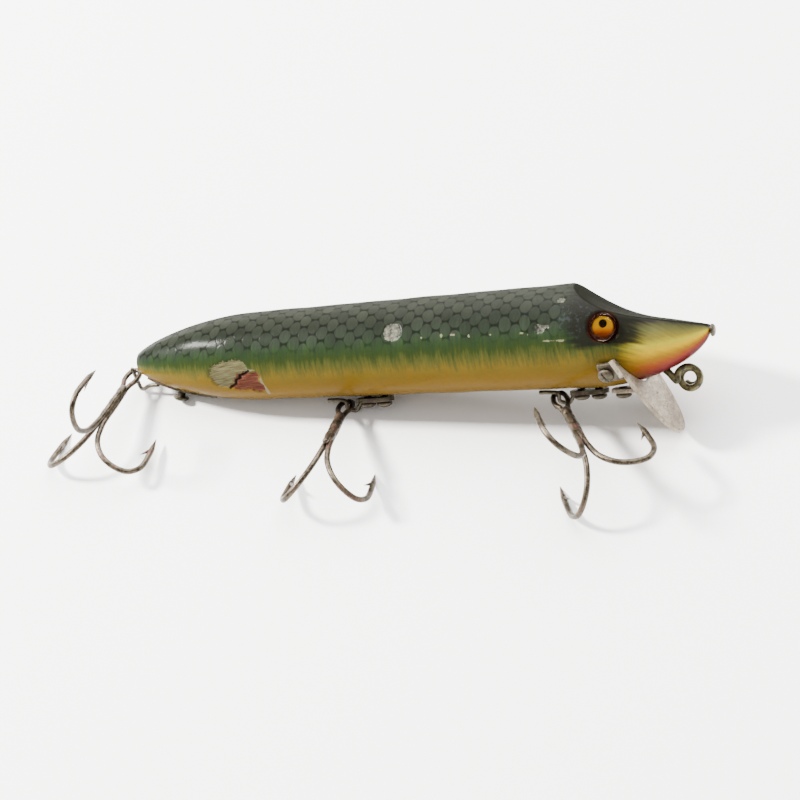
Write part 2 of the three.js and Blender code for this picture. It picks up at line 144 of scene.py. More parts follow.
def wireGrid(path, radius, sides=16):
    # centre + radius (cos a side + sin a other), with side and other carried along the path without twist;
    # radius is a number or one for each path point, and both ends close in a small dome
    path = np.asarray(path, float)
    radius = np.broadcast_to(np.asarray(radius, float), len(path)).copy()
    ahead = unit(np.gradient(path, axis=0))
    side = np.zeros_like(path)
    side[0] = unit(np.cross(ahead[0], [0.31, 0.67, 0.55]))  # any direction that no path starts in
    for k in range(1, len(path)):
        side[k] = unit(side[k - 1] - ahead[k] * (side[k - 1] @ ahead[k]))
    other = np.cross(ahead, side)
    domes = np.radians([90, 60, 30])
    domeHeight = 0.8
    starts = [path[0] - ahead[0] * radius[0] * sin(d) * domeHeight for d in domes]
    ends = [path[-1] + ahead[-1] * radius[-1] * sin(d) * domeHeight for d in domes[::-1]]
    centres = np.vstack([starts, path, ends])
    sizes = np.concatenate([radius[0] * np.cos(domes), radius, radius[-1] * np.cos(domes[::-1])])
    side = np.vstack([[side[0]] * 3, side, [side[-1]] * 3])
    other = np.vstack([[other[0]] * 3, other, [other[-1]] * 3])
    a = np.linspace(0, 2 * pi, sides, endpoint=False)
    ring = np.cos(a)[None, :, None] * side[:, None] + np.sin(a)[None, :, None] * other[:, None]
    return centres[:, None] + sizes[:, None, None] * ring


def turnedGrid(profile, sides):
    # a profile of (radius r, height z) turned about z: (r cos a, r sin a, z)
    p = np.asarray(profile, float)
    a = np.linspace(0, 2 * pi, sides, endpoint=False)
    return np.stack([p[:, :1] * np.cos(a), p[:, :1] * np.sin(a), np.repeat(p[:, 1:], sides, 1)], -1)


def stripGrid(x, half, z, cols):
    # across each x, y from -half to half
    return np.stack(np.broadcast_arrays(x, np.linspace(-1, 1, cols) * half, z), -1)


def facing(direction, place, hint=(1, 0, 0)):
    # a frame whose z is direction, as a function from local to lure millimetres
    z = unit(direction)
    x = unit(np.asarray(hint, float) - z * np.dot(hint, z))
    y = np.cross(z, x)
    return lambda grid: grid @ np.stack([x, y, z]) + np.asarray(place, float)


def shade(code):
    # hex sRGB to linear
    parts = [int(code[k:k + 2], 16) / 255 for k in (1, 3, 5)]
    return tuple(v / 12.92 if v <= 0.04045 else ((v + 0.055) / 1.055) ** 2.4 for v in parts) + (1.0,)


def fill(node, inputs):
    # each input takes a value, a hex colour or another node's output
    for key, value in inputs.items():
        if isinstance(value, bpy.types.NodeSocket):
            node.id_data.links.new(value, node.inputs[key])
        else:
            node.inputs[key].default_value = shade(value) if isinstance(value, str) else value


# kinds of node: the setting that the kind's second word gives, the usual output, and the inputs in order
nodeKinds = {
    "Attribute": ("attribute_name", "Fac"), "TexCoord": ("", "Object"), "SeparateXYZ": ("", slice(3), 0),
    "Math": ("operation", 0, 0, 1, 2), "VectorMath": ("operation", 0, 0, 1, 2),
    "Mix": ("data_type", 2, 0, 6, 7), "Mapping": ("", 0, "Vector", "Scale"),
    "MapRange": ("interpolation_type", 0, "Value", "From Min", "From Max", "To Min", "To Max"),
    "TexNoise": ("", 0, "Vector", "Scale", "Detail", "Roughness"), "TexWhiteNoise": ("", "Value", "Vector"),
    "ValToRGB": ("", 0, 0), "Bump": ("", 0, "Height", "Distance"),
}


def addNode(tree, kind, *inputs, output=None, stops=(), **settings):
    # adds a node with its settings, inputs and colour stops, and returns its output
    kind, _, word = kind.partition(" ")
    setting, usualOutput, *sockets = nodeKinds[kind]
    node = tree.nodes.new("ShaderNode" + kind)
    if word:
        settings[setting] = word
    for key, value in settings.items():
        setattr(node, key, value)
    fill(node, dict(zip(sockets, inputs)))
    for k, (place, colour) in enumerate(stops):
        marks = node.color_ramp.elements
        mark = marks[k] if k < 2 else marks.new(place)
        mark.position, mark.color = place, shade(colour)
    return node.outputs[output or usualOutput]


def newMaterial(name):
    material = bpy.data.materials.new(name)
    material.use_nodes = True
    tree = material.node_tree
    return material, tree.nodes["Principled BSDF"], partial(addNode, tree)


body = {
    "length": 114.0,
    "tailEndRadius": 1.9, "tailTaper": 28.0, "tailTaperRadius": 8.4, "tailRoundness": 0.83,
    "tailFlat": 1.65, "tailEdge": (0.25, 0.48),  # the flat's radius, then the round edge's depth and rise
    "shoulderX": 92.0, "shoulderRadius": 9.6, "noseReach": 22.3, "noseRoundness": 0.6,
    "scoopStart": (89.5, 9.9), "scoopTurn": (93.8, 4.2), "snoutStart": (103.0, 2.55), "snoutEnd": (116.0, 0.24),
    "scoopSoftness": 0.3, "headTilt": 0.12, "cutFrom": 88.8, "scoopPaint": (-0.15, 0.1), "scoopPaintFrom": 89.0,
    "carvingWave": 0.05, "carvingSpan": (3, 108),
    # hollows: depth, and the field's values where it begins and where it is full
    "chips": (0.22, -0.1, 0.2), "split": (0.25, 0, 0.3), "sockets": (0.95, -0.05, 0.35),
    "flankRows": 382, "endRings": 5, "sides": 200,
}


def bodyRadius(x):
    # tail: end + (taper - end) (1 - (1 - x / taper length)^2)^roundness, then a straight cone to the shoulder
    # nose: shoulder (1 - share^2)^roundness
    end, taper, shoulder = body["tailEndRadius"], body["tailTaperRadius"], body["shoulderRadius"]
    toGo = 1 - np.clip(x / body["tailTaper"], 0, 1)
    tail = end + (taper - end) * (1 - toGo ** 2) ** body["tailRoundness"]
    share = (x - body["tailTaper"]) / (body["shoulderX"] - body["tailTaper"])
    cone = taper + (shoulder - taper) * share
    along = np.clip((x - body["shoulderX"]) / body["noseReach"], 0, 1)
    nose = shoulder * (1 - along ** 2) ** body["noseRoundness"]
    return np.where(x < body["tailTaper"], tail, np.where(x < body["shoulderX"], cone, nose))


def scoopHeight(x):
    # the cut on top of the head: a quadratic curve down from the forehead, solved for its t at x,
    # then a straight line to the nose; 99 behind the forehead, where nothing is cut
    p0, p1, p2, p3 = [np.array(body[k]) for k in ("scoopStart", "scoopTurn", "snoutStart", "snoutEnd")]
    a, b, c = p0[0] - 2 * p1[0] + p2[0], 2 * (p1[0] - p0[0]), p0[0] - x
    t = np.clip((-b + np.sqrt(np.maximum(b * b - 4 * a * c, 0))) / (2 * a), 0, 1)
    curve = (1 - t) ** 2 * p0[1] + 2 * t * (1 - t) * p1[1] + t * t * p2[1]
    flat = p2[1] + (x - p2[0]) * (p3[1] - p2[1]) / (p3[0] - p2[0])
    return np.where(x < p0[0], 99.0, np.where(x < p2[0], curve, flat))


eye = {"x": 97.0, "height": 1.1, "socketRadius": 2.95,
       "radius": 2.5, "dome": 1.1, "seat": 0.3, "lensBack": 0.05, "lensRim": 0.12,
       "dishMargin": 0.06, "dishDip": 0.1, "cupDepth": 0.7,
       "irisRadius": 1.9, "rimFade": (-0.25, 0.1), "pupilRadius": 0.74, "pupilFade": (0.06, -0.06),
       "pupilRise": 0.6, "goldFrom": -1.8, "goldTo": 1.6, "goldFlecks": 0.25,
       "gold": [(0.0, "#260900"), (0.2, "#4c2000"), (0.36, "#744700"), (0.5, "#836200"), (0.9, "#8a7306")]}


def eyeOut(side):
    # the way an eye looks and its place; the head is carved askew, so the left eye is lower
    radius = float(bodyRadius(eye["x"]))
    rise = asin(eye["height"] / radius) - side * atan(body["headTilt"])
    out = np.array([0, side * cos(rise), sin(rise)])
    return out, out * radius + [eye["x"], 0, 0]


# wear on the right flank, as blobs: x, angle from the back in degrees, half length and half width in mm
wear = {
    "bareWood": [(21.8, 108, 4.0, 2.6), (23.8, 100, 2.6, 1.8), (20.6, 118, 2.4, 1.8)],
    "primer": [(25.6, 118, 2.6, 1.9), (24.2, 127, 2.4, 1.2), (27.3, 112, 1.4, 0.9), (27.4, 130, 1.5, 1.5)],
    "undercoat": [(56.4, 66.5, 1.75, 1.7), (85.0, 74.5, 1.1, 0.9), (86.4, 72.0, 0.7, 0.4), (88.9, 41, 0.8, 0.6),
        (27.9, 112, 0.5, 0.5)],
    "streak": [(88.6, 88.8, 1.6, 0.2), (86.6, 88.0, 0.7, 0.22), (66.2, 75, 0.3, 0.4), (68.4, 74.5, 0.5, 0.2),
        (71.6, 77, 0.25, 0.35), (75.8, 77, 0.3, 0.25), (81.8, 78, 0.5, 0.2), (83.0, 80, 0.3, 0.2),
        (62.3, 76, 0.25, 0.25), (28.7, 124, 0.3, 1.7), (29.0, 137, 0.35, 1.4), (26.6, 103, 1.2, 0.22)],
    "scrape": [(91.0, 58, 3.0, 2.6), (93.8, 64, 2.2, 2.8), (89.4, 68, 1.4, 2.6), (92.0, 80, 1.8, 1.6)],
}
widestFade = 1.6  # mm over which a wide blob fades
crack = {"halfWidth": 0.35, "radius": 8.0,  # the body's radius there, which turns angles to mm
         "line": [(26.6, 103.5), (25.9, 107), (24.3, 111), (24.6, 114), (23.4, 117), (23.2, 123), (21.5, 131)]}
nothing = -9.0  # a wear field's value where there is no wear


def wearField(x, a, blobs):
    # for each blob 1 at its middle and 0 on its edge, times its half width; the highest wins
    field = np.full(x.shape, nothing)
    for bx, ba, halfLength, halfWidth in blobs:
        arc = np.radians(a - ba) * bodyRadius(bx)
        d = np.sqrt(((x - bx) / halfLength) ** 2 + (arc / halfWidth) ** 2)
        field = np.maximum(field, (1 - d) * min(halfWidth, widestFade))
    return field


def crackField(x, a):
    # the split's half width less the distance to its line
    arc = np.radians(a) * crack["radius"]
    best = np.full(x.shape, 99.0)
    line = [np.array([px, radians(pa) * crack["radius"]]) for px, pa in crack["line"]]
    for p, q in zip(line, line[1:]):
        step = q - p
        t = np.clip(((x - p[0]) * step[0] + (arc - p[1]) * step[1]) / (step @ step), 0, 1)
        best = np.minimum(best, np.hypot(x - p[0] - t * step[0], arc - p[1] - t * step[1]))
    return crack["halfWidth"] - best


def makeBody(material):
    # rows along x, with a flat end and a small round edge at the tail; columns of angle a from the back,
    # the right side positive: y = -r sin a, z = r cos a, and z is held under the scoop's height h by a
    # soft minimum, min(z, h) - k log(1 + exp(-|z - h| / k))
    length, rings, (edgeDepth, edgeRise) = body["length"], body["endRings"], body["tailEdge"]
    edge = np.radians(np.linspace(0, 90, 7))[1:]
    edgeX, edgeR = edgeDepth - edgeDepth * np.cos(edge), body["tailFlat"] + edgeRise * np.sin(edge)
    flank = edgeDepth + (length - edgeDepth) * np.linspace(0, 1, body["flankRows"])[1:]
    x = np.concatenate([np.zeros(rings), edgeX, flank, np.full(rings, length)])
    noseEnd = np.linspace(float(bodyRadius(length)) * 0.98, 0, rings)
    r = np.concatenate([np.linspace(0, body["tailFlat"], rings), edgeR, bodyRadius(flank), noseEnd])
    a = np.linspace(-180, 180, body["sides"], endpoint=False)
    xx, aa = np.meshgrid(x, a, indexing="ij")
    rr = np.repeat(r[:, None], len(a), 1)
    y, z = -rr * np.sin(np.radians(aa)), rr * np.cos(np.radians(aa))
    top = scoopHeight(xx) - body["headTilt"] * y
    k = body["scoopSoftness"]
    cut = np.minimum(z, top) - k * np.log1p(np.exp(-np.abs(z - top) / k))
    cut = np.where(xx < body["cutFrom"], z, cut)

    right = aa > 0
    fields = {key: np.where(right, wearField(xx, aa, blobs), nothing) for key, blobs in wear.items()}
    fields["crack"] = np.where(right, crackField(xx, aa), nothing)
    shell = np.stack([xx, y, cut], -1)
    eyeDistance = np.minimum(*[np.linalg.norm(shell - eyeOut(side)[1], axis=-1) for side in (-1, 1)])
    fields["socket"] = eye["socketRadius"] - eyeDistance
    fields["scooped"] = smoothStep(z - top, *body["scoopPaint"]) * (xx > body["scoopPaintFrom"])
    # place: mm along, mm around, and the girth from the back, 0, to the belly, 1
    fields["place"] = np.stack([xx, np.radians(aa) * np.maximum(rr, 1), np.abs(aa) / 180], -1)

    # worn places lie a paint film's depth lower, the eyes sit in shallow hollows, and the carving wavers by
    # sin(0.55 x + 0.8 sin 3a) cos(5a + 0.11 x)
    chipped = np.maximum.reduce([fields["bareWood"], fields["primer"], fields["undercoat"]])
    lower = 0.0
    for field, key in ((chipped, "chips"), (fields["crack"], "split"), (fields["socket"], "sockets")):
        depth, low, high = body[key]
        lower = lower + depth * smoothStep(field, low, high)
    wave = np.sin(xx * 0.55 + 0.8 * np.sin(np.radians(aa) * 3)) * np.cos(np.radians(aa) * 5 + xx * 0.11)
    carved = (xx > body["carvingSpan"][0]) * (xx < body["carvingSpan"][1])
    ratio = np.where(rr > 0.5, (lower - body["carvingWave"] * wave * carved) / np.maximum(rr, 0.5), 0)
    # in the room z is held at 0, which cuts the small flat that it rests on
    addPiece("carvedBody", [(np.stack([xx, y * (1 - ratio), cut - z * ratio], -1), True)], material,
             ["body"], fields, put=lambda p: np.maximum(toRoom(p), (-9, -9, 0)))


# paint from the middle of the back, 0, to the middle of the belly, 1
flankColours = [
    (0.0, "#1b1d18"), (0.17, "#1b1d18"), (0.3, "#151813"), (0.4, "#1b2019"), (0.465, "#1d2918"),
    (0.52, "#242e15"), (0.575, "#3c3e1d"), (0.645, "#5a4b18"), (0.73, "#614a12"), (0.83, "#5d4618"),
    (1.0, "#4c3d18")]
snoutColours = [
    (0.0, "#121308"), (0.3, "#16160c"), (0.38, "#222020"), (0.46, "#585834"), (0.52, "#7d7331"),
    (0.575, "#ada02b"), (0.635, "#bd9b10"), (0.7, "#8f6714"), (0.76, "#84411f"), (0.85, "#60232a"),
    (1.0, "#512127")]
paintwork = {
    # noise: its stretch on the body's own mm, or None for room metres; its scale, detail and roughness
    "noises": {
        "brush": ((0.16, 1.5, 0), 1.0, 4, 0.55),  # streaks 6 mm long and 0.7 mm wide
        "strokes": ((2.0, 0.3, 0), 1.0, 3, 0.55),  # upright, 0.5 mm wide and 3 mm long
        "grain": ((0.35, 4.0, 0), 1.0, 5, 0.7),  # wood grain 0.25 mm wide
        "cloud": (None, 170, 3, 0.55),  # 6 mm clouds
        "grit": (None, 1500, 4, 0.65),  # 0.7 mm flecks
        "specks": (None, 2600, 2, 0.55),  # 0.4 mm pin-head dirt
        "scuffs": (None, 900, 5, 0.75),  # 1.1 mm scuffs
    },
    "bandWander": {"brush": 0.05, "cloud": 0.06}, "strokeReach": 0.16, "brushReach": 5.0, "scallop": 0.008,
    # zones: what they go by, and its values where they begin and are full, falling if the first is the higher
    "zones": {
        "snout": ("ahead", 98.5, 104.5), "chinAlong": ("along", 98.5, 101.5), "chinUnder": ("band", 0.84, 0.90),
        "inCell": ("fromCentre", 1.04, 0.82), "back": ("band", 0.5, 0.39), "behindHead": ("ahead", 92, 87.5),
        "faceFront": ("ahead", 106.0, 101.5), "faceRear": ("ahead", 89.0, 92.5),
        "faceAbove": ("band", 0.575, 0.525), "dirt": ("specks", 0.66, 0.74), "scuffed": ("scuffs", 0.5, 0.62),
        "rubbed": ("girth", 0.24, 0.05),  # the middle of the back has been handled dull
    },
    # wear: its field's values where it begins and is full, and how ragged flecks make that edge
    "worn": {"scrape": (-0.1, 0.9, 2.2), "socket": (-0.15, 0.12, 0.7), "undercoat": (-0.02, 0.1, 0.9),
             "streak": (-0.02, 0.05, 0.5), "bareWood": (-0.02, 0.12, 1.5), "primer": (-0.02, 0.15, 1.6),
             "crack": (0.02, 0.2, 0.25)},
    # each layer lies over the ones before: where, its strength, and its colour or a noise and its colours
    "layers": [
        ("face", 0.93, "#151512"),  # the dark patch round the eye, brushed out forwards and back
        ("scooped", 0.9, ("cloud", [(0, "#0a0b07"), (1, "#17180f")])), ("chin", 1.0, "#4e1713"),
        ("grit", 0.14, "#000000"), ("dirt", 0.35, "#2a241b"), ("scrape", 0.3, "#30363a"),
        ("socket", 1.0, ("grit", [(0, "#0e0504"), (1, "#30160f")])),
        ("undercoat", 1.0, ("mottle", [(0.38, "#1c1f1a"), (0.48, "#45453d"), (0.6, "#6a675a")])),
        ("streak", 0.7, "#67634f"),
        ("bareWood", 1.0, ("grain", [(0.3, "#2b2719"), (0.5, "#4b4731"), (0.7, "#625e45")])),
        ("primer", 1.0, ("grain", [(0.35, "#37180f"), (0.55, "#4d2c21"), (0.72, "#6e4d41")])),
        ("crack", 1.0, "#120c08"),
    ],
    "roughness": 0.12,  # of the clean lacquer, and what each of these adds
    "rougher": {"cloud": 0.18, "scrape": 0.3, "scooped": 0.85, "rubbed": 0.5, "dull": 0.5},
    "specular": 0.02, "bumpDepth": 0.00005, "relief": {"grit": 0.35, "nettedCell": 0.25, "grainLines": -1.2},
}
# netting: mm between cells along and around, their half length and height, how the threads bend, and how
# much lighter or darker than the paint the cells and the lines between them are
netting = {"along": 3.83, "around": 3.1, "halfLength": 1.22, "halfHeight": 1.45,
           "bendScale": 260, "bend": (1.1, 1.0, 0.0), "cell": 1.1, "cellSpread": 0.5, "line": 0.52}


def lacqueredPaint():
    # nitrocellulose lacquer over airbrushed enamel on wood: colours fade into each other and the top
    # coat is wet-looking, except where it has chipped to undercoat, primer and bare wood
    material, shader, add = newMaterial("lacqueredEnamelOnWood")
    place = add("Attribute place", output="Vector")
    along, _, girth = add("SeparateXYZ", place)
    room = add("TexCoord")
    noise = {}
    for name, (stretch, scale, detail, roughness) in paintwork["noises"].items():
        vector = add("Mapping", place, stretch) if stretch else room
        noise[name] = add("TexNoise", vector, scale, detail, roughness)
    swing = {name: add("Math SUBTRACT", noise[name], 0.5)  # about zero
             for name in ("brush", "strokes", "cloud", "grit")}

    # where the paint changes, brushed and clouded: band round the body, ahead along it, stroked for the flank
    band = girth
    for name, reach in paintwork["bandWander"].items():
        band = add("Math MULTIPLY_ADD", swing[name], reach, band)
    ahead = add("Math MULTIPLY_ADD", swing["brush"], paintwork["brushReach"], along)
    stroked = add("Math MULTIPLY_ADD", swing["strokes"], paintwork["strokeReach"], girth)
    turns = add("Math MULTIPLY", along, 2 * pi / netting["along"])
    scallop = add("Math SINE", turns)
    stroked = add("Math MULTIPLY_ADD", scallop, paintwork["scallop"], stroked)

    # netting over the back: rounded cells in rows, each row half a cell up and half a cell along
    # reach = sqrt((x / half length)^2 + (y / half height)^2) is 0 in a cell's middle and 1 on its border
    bend = add("TexNoise", room, netting["bendScale"], 2, 0.5, output="Color")
    bend = add("VectorMath SUBTRACT", bend, (0.5, 0.5, 0.5))
    bent = add("VectorMath MULTIPLY_ADD", bend, netting["bend"], place)
    lattice = add("VectorMath MULTIPLY", bent, (1 / netting["along"], 1 / netting["around"], 0.0))
    cellSize = (netting["along"] / netting["halfLength"], netting["around"] / netting["halfHeight"], 0.0)
    reach, tones = [], []
    for shift in (0.0, 0.5):
        moved = add("VectorMath ADD", lattice, (shift, shift, 0.5))
        inside = add("VectorMath FRACTION", moved)
        inside = add("VectorMath SUBTRACT", inside, (0.5, 0.5, 0.5))
        inside = add("VectorMath MULTIPLY", inside, cellSize)
        reach.append(add("VectorMath LENGTH", inside, output="Value"))
        whole = add("VectorMath FLOOR", moved)
        whole = add("VectorMath ADD", whole, (shift, shift, 0.0))
        tones.append(add("TexWhiteNoise", whole))
    nearer = add("Math LESS_THAN", reach[1], reach[0])
    fromCentre = add("Math MINIMUM", reach[0], reach[1])
    cellTone = add("Math SUBTRACT", tones[1], tones[0])
    cellTone = add("Math MULTIPLY_ADD", nearer, cellTone, tones[0])

    # masks: zones and wear as smooth steps, then what lies in both of two or in either
    source = {"along": along, "girth": girth, "band": band, "ahead": ahead, "fromCentre": fromCentre, **noise}
    mask = {**noise, "scooped": add("Attribute scooped")}
    mask["mottle"] = add("Math MULTIPLY", add("Math ADD", noise["cloud"], noise["grit"]), 0.5)
    for name, (key, low, high) in paintwork["zones"].items():
        mask[name] = add("MapRange SMOOTHSTEP", source[key], low, high)
    for name, (low, high, ragged) in paintwork["worn"].items():
        field = add("Math MULTIPLY_ADD", swing["grit"], ragged, add("Attribute " + name))
        mask[name] = add("MapRange SMOOTHSTEP", field, low, high)
    for name, operation, first, second in (
            ("chin", "MULTIPLY", "chinAlong", "chinUnder"), ("onBack", "MULTIPLY", "back", "behindHead"),
            ("face", "MULTIPLY", "faceFront", "faceRear"), ("face", "MULTIPLY", "face", "faceAbove"),
            ("scrape", "MULTIPLY", "scrape", "scuffed"), ("nettedCell", "MULTIPLY", "inCell", "onBack"),
            ("grainLines", "MULTIPLY", "bareWood", "grain"), ("dull", "MAXIMUM", "bareWood", "primer"),
            ("dull", "MAXIMUM", "dull", "undercoat"), ("dull", "MAXIMUM", "dull", "socket")):
        mask[name] = add("Math " + operation, mask[first], mask[second])

    flank, snout = add("ValToRGB", stroked, stops=flankColours), add("ValToRGB", band, stops=snoutColours)
    paint = add("Mix RGBA", mask["snout"], flank, snout)
    bright = netting["cell"] - netting["line"]
    bright = add("Math MULTIPLY_ADD", cellTone, netting["cellSpread"], bright)
    bright = add("Math MULTIPLY_ADD", mask["inCell"], bright, netting["line"] - 1)
    tint = add("Math MULTIPLY_ADD", mask["onBack"], bright, 1.0)
    paint = add("Mix RGBA", 1.0, paint, tint, blend_type="MULTIPLY")
    for name, strength, colour in paintwork["layers"]:
        if not isinstance(colour, str):
            colour = add("ValToRGB", mask[colour[0]], stops=colour[1])
        amount = add("Math MULTIPLY", mask[name], strength)
        paint = add("Mix RGBA", amount, paint, colour)

    roughness, height = paintwork["roughness"], 0.0
    for name, more in paintwork["rougher"].items():
        roughness = add("Math MULTIPLY_ADD", mask[name], more, roughness, use_clamp=True)
    for name, rise in paintwork["relief"].items():
        height = add("Math MULTIPLY_ADD", mask[name], rise, height)
    fill(shader, {"Base Color": paint, "Roughness": roughness, "Specular IOR Level": paintwork["specular"],
                  "Normal": add("Bump", height, paintwork["bumpDepth"])})
    return material


makeBody(lacqueredPaint())
print("body made")


def eyeGlass():
    # blown glass: clear, slightly warm and wet-looking, with a very faint haze
    material, shader, add = newMaterial("clearEyeGlass")
    haze = add("TexNoise", add("TexCoord"), 900, 3, 0.55)
    fill(shader, {"Base Color": "#f6e8c8", "Transmission Weight": 1.0, "IOR": 1.1,
                  "Roughness": add("Math MULTIPLY", haze, 0.02)})
    return material


def irisPaint():
    # gold lacquer painted behind the glass: yellow above, burnt orange below, with a black pupil
    material, shader, add = newMaterial("goldIrisLacquer")
    place = add("Attribute irisPlace", output="Vector")
    _, up, _ = add("SeparateXYZ", place)
    flecks = add("Math SUBTRACT", add("TexNoise", place, 2.2, 4, 0.6), 0.5)  # 0.5 mm flecks
    height = add("MapRange LINEAR", up, eye["goldFrom"], eye["goldTo"])
    height = add("Math MULTIPLY_ADD", flecks, eye["goldFlecks"], height)
    colour = add("ValToRGB", height, stops=eye["gold"])
    fromPupil = add("VectorMath SUBTRACT", place, (0.0, eye["pupilRise"], 0.0))
    for centre, radius, fade, dark in ((place, eye["irisRadius"], eye["rimFade"], "#1c0502"),
                                       (fromPupil, eye["pupilRadius"], eye["pupilFade"], "#060504")):
        out = add("VectorMath LENGTH", centre, output="Value")
        amount = add("MapRange SMOOTHSTEP", out, radius + fade[0], radius + fade[1])
        colour = add("Mix RGBA", amount, colour, dark)
    fill(shader, {"Base Color": colour, "Roughness": 0.35, "Specular IOR Level": 0.03})
    return material


def makeEyes(glass, iris):
    radius, seat = eye["radius"], eye["seat"]
    lensBack, rim = eye["lensBack"] - seat, eye["lensRim"] - seat
    # lens: half an ellipse over a shallow back, turned about the eye's axis
    b = np.radians(np.linspace(0, 90, 28))
    lens = [(radius * share, lensBack) for share in (0, 0.5, 0.9, 0.97)]
    lens += [(radius * cos(v), rim + (eye["dome"] - rim) * sin(v)) for v in b]
    # cup: behind the lens, a thin dish that the iris is painted in, over a flat back
    rho = np.linspace(0, radius - eye["dishMargin"], 40)
    dish = [(p, -seat - eye["dishMargin"] - eye["dishDip"] * (1 - (p / radius) ** 2)) for p in rho]
    cup = dish + [(p, -seat - eye["cupDepth"]) for p in rho[::-1]]
    for name, side in (("right", -1), ("left", 1)):
        out, place = eyeOut(side)
        turned = facing(out, place)
        addPiece("eyeGlass." + name, [(turned(turnedGrid(lens, 64)), True)], glass, ["eye_" + name])
        cupInLure = turned(turnedGrid(cup, 64))
        lookUp = unit([0, 0, 1] - out * out[2])
        rel = cupInLure - place
        # the place on the iris: mm forwards and up from its middle
        irisPlace = np.stack([rel[..., 0], rel @ lookUp, 0 * rel[..., 0]], -1)
        addPiece("eyeIris." + name, [(cupInLure, True)], iris, (), {"irisPlace": irisPlace})


makeEyes(eyeGlass(), irisPaint())
print("eyes made")

# light, dark and rust colours, the grain's repeats per metre, how much rust, roughness, the pits' depth in m
metals = {
    # bronzed steel: brown-black oxide rubbed back to a grey gleam, with red-brown rust in blotches
    "bronzedSteelWire": ("#5c5345", "#2a2319", "#3b1c10", 2600, 0.055, (0.26, 0.55), 0.00006),
    # tarnished steel: the same but dirtier, a duller brown-grey with more rust
    "tarnishedSteelFitting": ("#5f5947", "#2c281d", "#33241a", 2200, 0.12, (0.3, 0.6), 0.00006),
    # brass gone dull: olive, with a soft shine and dark tarnish
    "dulledBrassWire": ("#6e6846", "#35311d", "#292415", 1800, 0.06, (0.25, 0.5), 0.00003),
}


def wornMetal(name, light, dark, rust, grain, rusted, roughness, pits):
    # the colour drifts between two tones, in 2 to 3 mm clouds and 0.5 mm flecks, and rust or tarnish lies in
    # patches that shine less
    material, shader, add = newMaterial(name)
    room = add("TexCoord")
    drift = add("TexNoise", room, grain * 0.18, 3, 0.6)
    fine = add("TexNoise", room, grain, 5, 0.65)
    tone = add("Math MULTIPLY", fine, 0.4)
    tone = add("Math MULTIPLY_ADD", drift, 0.6, tone)
    tone = add("MapRange SMOOTHSTEP", tone, 0.38, 0.62)
    colour = add("Mix RGBA", tone, dark, light)
    patch = add("Math MULTIPLY_ADD", fine, 0.5, drift)
    patch = add("MapRange SMOOTHSTEP", patch, 0.86 - rusted, 0.98 - rusted)
    colour = add("Mix RGBA", patch, colour, rust)
    rough = add("Math MULTIPLY_ADD", patch, 0.6, fine)
    rough = add("MapRange LINEAR", rough, 0.3, 1.1, roughness[0], roughness[1])
    fill(shader, {"Base Color": colour, "Roughness": rough,
                  "Metallic": add("Math MULTIPLY_ADD", patch, -0.5, 0.8),
                  "Normal": add("Bump", fine, pits)})
    return material


def platedSheet():
    # tinned steel sheet, oxidised: a pale warm grey with a soft shine, dark pits and fine scratches
    material, shader, add = newMaterial("oxidisedTinnedSteel")
    room = add("TexCoord")
    lengthways = add("Mapping", room, (1, 0.12, 0.3))
    pits, cloud, scratch = [  # 0.4 mm pits, 4 mm clouds and scratches 0.6 mm wide
        add("TexNoise", vector, scale, 4, roughness)
        for vector, scale, roughness in ((room, 2400, 0.7), (room, 260, 0.6), (lengthways, 1700, 0.6))]
    tone = add("Math MULTIPLY", scratch, 0.55)
    tone = add("Math MULTIPLY_ADD", cloud, 0.45, tone)
    colour = add("ValToRGB", tone, stops=[(0.3, "#6f6556"), (0.48, "#938776"), (0.62, "#aea28f"),
                                          (0.8, "#c4b9a6")])
    dark = add("MapRange SMOOTHSTEP", pits, 0.54, 0.64)
    amount = add("Math MULTIPLY", dark, 0.7)
    height = add("Math MULTIPLY_ADD", dark, -0.8, scratch)
    fill(shader, {"Base Color": add("Mix RGBA", amount, colour, "#3a3027"),
                  "Metallic": 0.75,
                  "Roughness": add("MapRange LINEAR", pits, 0.3, 0.7, 0.42, 0.7),
                  "Normal": add("Bump", height, 0.00006)})
    return material


hookSteel, fittingSteel, tieBrass = [wornMetal(name, *look) for name, look in metals.items()]
lipSheet = platedSheet()

lip = {"tip": (107.4, -18.2), "slope": 58.4, "length": 17.0, "halfWidth": 9.8, "tongueLength": 13.5,
       "tongueHalfWidth": 8.1, "tongueShift": 0.4, "wingOverlap": 0.995,
       "sheet": 0.8, "clearance": 0.3, "rounding": 0.14, "earAngle": 38.0, "earX": 96.7,
       "earForward": 0.55, "earLength": 4.0, "earWidth": 3.9, "earRounding": 0.16,
       "tabX": 97.0, "tabBehindScrew": 1.9, "tabReach": 7.1, "tabWidth": 5.0, "tabCorner": 1.3}


def onLip(u, v):
    # a point u up the lip from its tip and v across: tip + u (-cos slope, sin slope)
    s = radians(lip["slope"])
    return np.stack(np.broadcast_arrays(lip["tip"][0] - u * cos(s), v, lip["tip"][1] + u * sin(s)), -1)


def lipTop(v):
    # how far up the lip meets the body, by halving steps on the distance to it
    low, high = np.zeros_like(v), np.full_like(v, lip["length"])
    for _ in range(30):
        mid = (low + high) / 2
        p = onLip(mid, v)
        inside = np.hypot(p[..., 1], p[..., 2]) < bodyRadius(p[..., 0]) + lip["clearance"]
        high, low = np.where(inside, mid, high), np.where(inside, low, mid)
    return low


